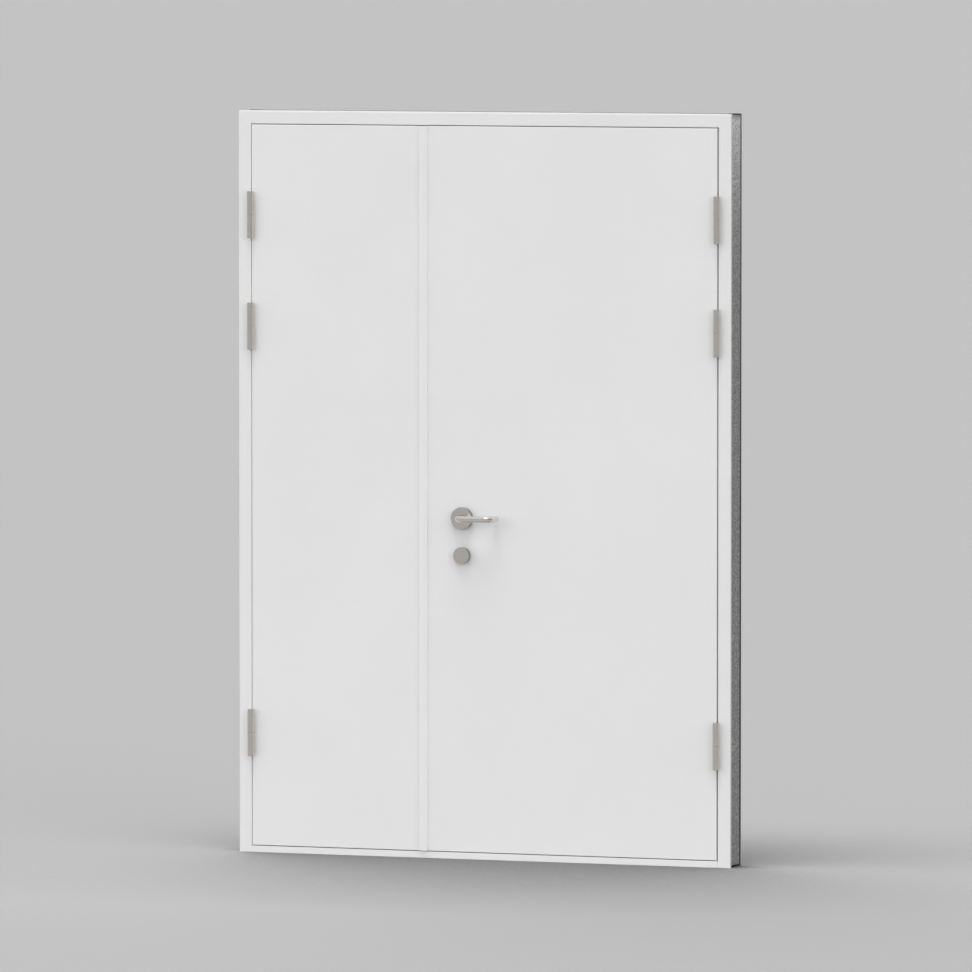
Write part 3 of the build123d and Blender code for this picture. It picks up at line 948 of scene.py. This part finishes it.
@dataclass
class Ironmongery:
    """Hinges, levers, roses, lock, strike, flush bolts and their screws."""

    hinge_nodes: tuple[str, ...] = (
        "left_hinge_frame_halves",
        "right_hinge_frame_halves",
        "passive_hinge_halves",
        "active_hinge_halves",
    )
    rose_nodes: tuple[str, ...] = ("pull_lever_rose", "push_lever_rose")
    blank_nodes: tuple[str, ...] = ("pull_blank_rose", "push_blank_rose")
    plate_nodes: tuple[str, ...] = (
        "head_bolt_keeper",
        "threshold_bolt_keeper",
        "strike_plate",
        "top_flush_bolt",
        "bottom_flush_bolt",
        "mortise_lock",
        "latch_bolt",
        "spindle",
        "left_hinge_rings",
        "right_hinge_rings",
    )
    screw_head: ScrewHead = ScrewHead()
    grub_head: ScrewHead = ScrewHead(2.6 * MM, 0.05 * MM, 1.2 * MM, 1.5 * MM)
    # How far inside the rose's edge the painted shade on its side wall starts.
    side_shade_margin: float = 0.35 * MM
    rebate_half: float = 696.5 * MM
    leaf_front: float = -45.0 * MM
    wing_rise: float = 33.5 * MM
    wing_screw_depth: float = 22.0 * MM
    wing_screw_spacing: float = 36.0 * MM
    plate_screw_margin: float = 12.0 * MM
    bolt_screw_spacing: float = 136.0 * MM
    keeper_screw_margin: float = 7.0 * MM
    grub_place: float = -70.0 * MM
    ring_reach: float = 10.0 * MM
    waist: float = 1.0

    def centre(self, node: str) -> Point:
        """Give the middle of a node's box.

        Args:
            node: The node's name.

        Returns:
            The middle.
        """
        low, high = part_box(node)
        return tuple((a + b) / 2.0 for a, b in zip(low, high))

    def build_screws(self, rows: FastenerTree) -> None:
        """Set countersunk screws in the hinge wings, the edge plates and the keepers.

        Args:
            rows: The tree that sets a row of screws.
        """
        steel = BrushedSteel("screw_steel", ZINC, Grain.UPRIGHT, roughness=0.30).material()
        kit = ScrewKit(rows, self.screw_head, steel)
        passive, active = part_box("passive_front_skin")[0][0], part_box("active_front_skin")[1][0]
        rebates = ((-self.rebate_half, 1.0), (self.rebate_half, -1.0))
        frame_rows = self.wing_rows(kit, rebates, -self.wing_rise)
        frame_rows += [self.keeper_row(kit, f"{place}_bolt_keeper") for place in ("head", "threshold")]
        passive_rows = self.wing_rows(kit, ((passive, -1.0),), self.wing_rise)
        passive_rows.append(self.plate_row(kit, "strike_plate", 1.0))
        passive_rows += [self.bolt_row(kit, f"{place}_flush_bolt") for place in ("top", "bottom")]
        active_rows = self.wing_rows(kit, ((active, 1.0),), self.wing_rise)
        active_rows.append(self.plate_row(kit, "mortise_lock", -1.0))
        piece_from("frame_screws", frame_rows, Body.FRAME)
        piece_from("passive_leaf_screws", passive_rows, Body.PASSIVE)
        piece_from("active_leaf_screws", active_rows, Body.ACTIVE)
        kit.clear()
        self.build_grub_screws(rows, steel)

    def plate_row(self, kit: ScrewKit, node: str, side: float) -> bpy.types.Mesh:
        """Set one screw at each end of a plate in a leaf's edge.

        Args:
            kit: The screws.
            node: The plate's node.
            side: Which way the edge faces, +1 for +X and -1 for -X.

        Returns:
            The row's mesh.
        """
        low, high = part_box(node)
        margin = self.plate_screw_margin
        start = (high[0] if side > 0.0 else low[0], (low[1] + high[1]) / 2.0, low[2] + margin)
        step = (0.0, 0.0, high[2] - low[2] - 2.0 * margin)
        return kit.row(2, start, step, towards_x(side))

    def bolt_row(self, kit: ScrewKit, node: str) -> bpy.types.Mesh:
        """Set the screws of a flush bolt's plate, whose node also holds its rod.

        Args:
            kit: The screws.
            node: The flush bolt's node.

        Returns:
            The row's mesh.
        """
        low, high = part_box(node)
        margin, step = self.plate_screw_margin, self.bolt_screw_spacing
        end = low[2] + margin
        if low[2] < self.waist:
            end, step = high[2] - margin, -step
        return kit.row(2, (high[0], (low[1] + high[1]) / 2.0, end), (0.0, 0.0, step), towards_x(1.0))

    def keeper_row(self, kit: ScrewKit, node: str) -> bpy.types.Mesh:
        """Set the two screws of a keeper, in the face that it turns to the bolt.

        Args:
            kit: The screws.
            node: The keeper's node.

        Returns:
            The row's mesh.
        """
        low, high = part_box(node)
        margin, upper = self.keeper_screw_margin, low[2] > self.waist
        start = (low[0] + margin, (low[1] + high[1]) / 2.0, low[2] if upper else high[2])
        step = (high[0] - low[0] - 2.0 * margin, 0.0, 0.0)
        return kit.row(2, start, step, DOWN if upper else UP)

    def wing_rows(
        self, kit: ScrewKit, faces: Iterable[tuple[float, float]], lift: float
    ) -> list[bpy.types.Mesh]:
        """Set two screws in each hinge wing.

        Args:
            kit: The screws.
            faces: The wings' faces: their place in X, and +1 or -1 for the way that they face.
            lift: How far the wings' middles are above the hinges' middles.

        Returns:
            A mesh for each wing.
        """
        step = (0.0, 0.0, self.wing_screw_spacing)
        depth = self.leaf_front + self.wing_screw_depth
        return [
            kit.row(2, (face, depth, middle + lift - self.wing_screw_spacing / 2.0), step, towards_x(side))
            for face, side in faces
            for middle in self.hinge_middles()
        ]

    def build_grub_screws(self, rows: FastenerTree, steel: bpy.types.Material) -> None:
        """Set a grub screw under the neck of each lever.

        Args:
            rows: The tree that sets a row of screws.
            steel: The screws' finish.
        """
        kit = ScrewKit(rows, self.grub_head, steel)
        (low, high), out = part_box("pull_lever"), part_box("push_lever")[1][1]
        across = low[0] + (high[2] - low[2]) / 2.0
        push = out - (self.grub_place - low[1])
        row = kit.row(2, (across, self.grub_place, low[2]), (0.0, push - self.grub_place, 0.0), DOWN)
        piece_from("grub_screws", [row], Body.LEVERS)
        kit.clear()

    def hinge_middles(self) -> list[float]:
        """Give the heights of the hinges' middles, from the bearing rings between their halves.

        Returns:
            The height of each ring's lower face, from the lowest up.
        """
        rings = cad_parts["left_hinge_rings"].data
        heights = sorted({round(vertex.co.z, 4) for vertex in rings.vertices})
        return [z for z in heights if not any(0.0 < z - other < self.ring_reach for other in heights)]

    def dress(self) -> None:
        """Give the metal nodes their finishes."""
        hinge = BrushedSteel("turned_stainless", STAINLESS, Grain.ROUND_UPRIGHT)
        dress(self.hinge_nodes, hinge.material())
        for label, nodes in (("rose", self.rose_nodes), ("blank_rose", self.blank_nodes)):
            low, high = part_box(nodes[0])
            # The roses get painted shade on their side wall past the radius given here.
            rose = BrushedSteel(
                f"{label}_stainless",
                STAINLESS,
                Grain.UPRIGHT,
                centre=self.centre(nodes[0]),
                line_cells=700.0,
                line_shade=0.90,
                side_shade_radius=(high[2] - low[2]) / 2.0 - self.side_shade_margin,
            )
            dress(nodes, rose.material())
        lever = BrushedSteel("lever_stainless", POLISHED, Grain.ALONG_LEVER, roughness=0.10)
        dress(("pull_lever", "push_lever"), lever.material())
        plate = BrushedSteel("plated_steel", ZINC, Grain.UPRIGHT, roughness=0.32)
        dress(self.plate_nodes, plate.material())


@dataclass(frozen=True)
class SoftSun:
    """A broad, far lamp, which the metal mirrors only through the world's own bright patch."""

    name: str
    towards: Point
    irradiance: float
    width: float

    def hang(self) -> None:
        """Add the lamp to the scene."""
        data = bpy.data.lights.new(self.name, "SUN")
        data.energy = self.irradiance * math.pi
        data.angle = math.radians(self.width)
        lamp = bpy.data.objects.new(self.name, data)
        lamp.rotation_euler = Vector(self.towards).to_track_quat("Z", "Y").to_euler()
        lamp.visible_glossy = False
        bpy.context.scene.collection.objects.link(lamp)


@dataclass
class Studio:
    """The floor, the light and the camera."""

    focal_length: float = 386.25
    sensor: float = 36.0
    eye: Point = (10.02344, -27.45643, 2.76459)
    target: Point = (0.00941, -0.045, 1.05186)
    floor_size: float = 1200.0
    floor_colour: Colour = (0.464, 0.464, 0.464)
    floor_bounce: Colour = (0.34, 0.34, 0.34)
    foot_reach: float = 1.5
    foot_lean: Point = (-0.35, 0.25, 0.90)
    ambient: float = 0.06
    backdrop: float = 0.55
    mirrored_tone: float = 0.8
    mirrored_ceiling: float = 0.92
    mirrored_side: float = 0.34
    mirrored_panel: float = 1.5
    ceiling_rise: tuple[float, float] = (0.1, 0.7)
    side_fall: tuple[float, float] = (0.40, 0.60)
    panel_left: tuple[float, float] = (-0.30, -0.24)
    panel_right: tuple[float, float] = (0.24, 0.32)
    panel_rise: tuple[float, float] = (0.66, 0.85)
    suns: tuple[SoftSun, ...] = (
        SoftSun("overhead_left", (-0.15, -0.23, 0.96), 0.20, 26.0),
        SoftSun("overhead", (0.0, -0.26, 0.965), 0.21, 26.0),
        SoftSun("overhead_right", (0.15, -0.23, 0.96), 0.18, 26.0),
        SoftSun("key", (0.06, -0.52, 0.85), 0.10, 50.0),
        SoftSun("front_fill", (0.0, -0.98, 0.21), 0.155, 54.0),
        SoftSun("left_fill", (-0.83, -0.52, 0.21), 0.42, 60.0),
        SoftSun("right_fill", (0.83, -0.52, 0.21), 0.46, 60.0),
        SoftSun("low_back_light", (-0.69, 0.69, 0.21), 0.47, 60.0),
        SoftSun("high_back_light", (-0.42, 0.74, 0.53), 0.18, 54.0),
    )

    def build(self) -> None:
        """Set up the whole studio."""
        self.make_floor()
        self.make_world()
        for sun in self.suns:
            sun.hang()
        self.make_camera()
        bpy.context.scene.view_settings.view_transform = "Standard"

    def make_floor(self) -> None:
        """Lay a plain pale floor under the threshold, a little darker where the door shades it."""
        half = self.floor_size / 2.0
        mesh = bpy.data.meshes.new("studio_floor")
        corners = [(-half, -half, 0.0), (half, -half, 0.0), (half, half, 0.0), (-half, half, 0.0)]
        mesh.from_pydata(corners, [], [(0, 1, 2, 3)])
        board = Board("studio_floor")
        # Painted shade: ambient occlusion darkens the floor's colour near the door, for camera, glossy and
        # transmission rays.
        shade = board.add("ShaderNodeAmbientOcclusion", samples=4)
        shade.inputs["Distance"].default_value = self.foot_reach
        lean = board.add("ShaderNodeCombineXYZ")
        for axis, part in zip("XYZ", self.foot_lean):
            lean.inputs[axis].default_value = part
        board.link(lean.outputs[0], shade.inputs["Normal"])
        path = board.add("ShaderNodeLightPath")
        seen = board.combine("MAXIMUM", path.outputs["Is Camera Ray"], path.outputs["Is Glossy Ray"])
        seen = board.combine("MAXIMUM", seen, path.outputs["Is Transmission Ray"])
        tone = board.add("ShaderNodeMix", data_type="RGBA")
        tone.inputs["A"].default_value = (*self.floor_bounce, 1.0)
        board.link(seen, tone.inputs["Factor"])
        board.link(board.blend(shade.outputs["AO"], (0.0, 0.0, 0.0), self.floor_colour), tone.inputs["B"])
        board.link(tone.outputs["Result"], board.shader.inputs["Base Color"])
        board.set(Roughness=1.0, Specular_IOR_Level=0.0)
        mesh.materials.append(board.material)
        floor = bpy.data.objects.new("studio_floor", mesh)
        bpy.context.scene.collection.objects.link(floor)
        LOG.info("laid %s", floor.name)

    def make_world(self) -> None:
        """Light the object evenly from all round, and show a plain grey behind it and in its metal."""
        world = bpy.data.worlds.new("studio")
        world.use_nodes = True
        bpy.context.scene.world = world
        sheet = NodeSheet(world.node_tree)
        ambient = sheet.tree.nodes["Background"]
        ambient.inputs["Color"].default_value = (1.0, 1.0, 1.0, 1.0)
        ambient.inputs["Strength"].default_value = self.ambient
        mirrored = sheet.add("ShaderNodeBackground")
        mirrored.inputs["Color"].default_value = (*(self.mirrored_tone,) * 3, 1.0)
        sheet.link(self.mirrored_light(sheet), mirrored.inputs["Strength"])
        plain = sheet.add("ShaderNodeBackground")
        plain.inputs["Color"].default_value = (*(self.backdrop,) * 3, 1.0)
        path = sheet.add("ShaderNodeLightPath")
        direct = sheet.combine("MAXIMUM", path.outputs["Is Camera Ray"], path.outputs["Is Transmission Ray"])
        shown = ambient.outputs[0]
        for share, light in ((path.outputs["Is Glossy Ray"], mirrored), (direct, plain)):
            mix = sheet.add("ShaderNodeMixShader")
            sheet.link(share, mix.inputs["Fac"])
            sheet.link(shown, mix.inputs[1])
            sheet.link(light.outputs[0], mix.inputs[2])
            shown = mix.outputs[0]
        sheet.link(shown, sheet.tree.nodes["World Output"].inputs["Surface"])

    def mirrored_light(self, sheet: NodeSheet) -> bpy.types.NodeSocket:
        """Shade what the metal mirrors: a pale ceiling, a bright panel over the door, a dark right side.

        Args:
            sheet: The world's nodes.

        Returns:
            The light's strength.
        """
        axes = sheet.add("ShaderNodeSeparateXYZ")
        sheet.link(sheet.add("ShaderNodeTexCoord").outputs["Generated"], axes.inputs[0])
        across, up = axes.outputs["X"], axes.outputs["Z"]
        ceiling = sheet.spread(up, self.backdrop, self.mirrored_ceiling, *self.ceiling_rise, smooth=True)
        side = sheet.spread(across, 1.0, self.mirrored_side / self.backdrop, *self.side_fall, smooth=True)
        left = sheet.spread(across, 0.0, 1.0, *self.panel_left, smooth=True)
        right = sheet.spread(across, 1.0, 0.0, *self.panel_right, smooth=True)
        overhead = sheet.spread(up, 0.0, self.mirrored_panel, *self.panel_rise, smooth=True)
        panel = sheet.combine("MULTIPLY", sheet.combine("MULTIPLY", left, right), overhead)
        return sheet.combine("MULTIPLY", sheet.combine("ADD", ceiling, panel), side)

    def make_camera(self) -> None:
        """Place the camera where the photograph was taken from."""
        data = bpy.data.cameras.new("camera")
        data.lens = self.focal_length
        data.sensor_width = self.sensor
        data.clip_end = 2000.0
        camera = bpy.data.objects.new("camera", data)
        camera.location = self.eye
        aim = Vector(self.target) - Vector(self.eye)
        camera.rotation_euler = aim.to_track_quat("-Z", "Y").to_euler()
        bpy.context.scene.collection.objects.link(camera)
        bpy.context.scene.camera = camera


def main() -> None:
    """Dress the door set and build its studio."""
    logging.basicConfig(level=logging.INFO, format="%(name)s: %(message)s")
    Studio().build()
    surround = SteelFrame()
    surround.dress()
    surround.build_seal(SealTree())
    Leaves().dress()
    ironmongery = Ironmongery()
    ironmongery.dress()
    ironmongery.build_screws(FastenerTree())


if __name__ == "__main__":
    main()
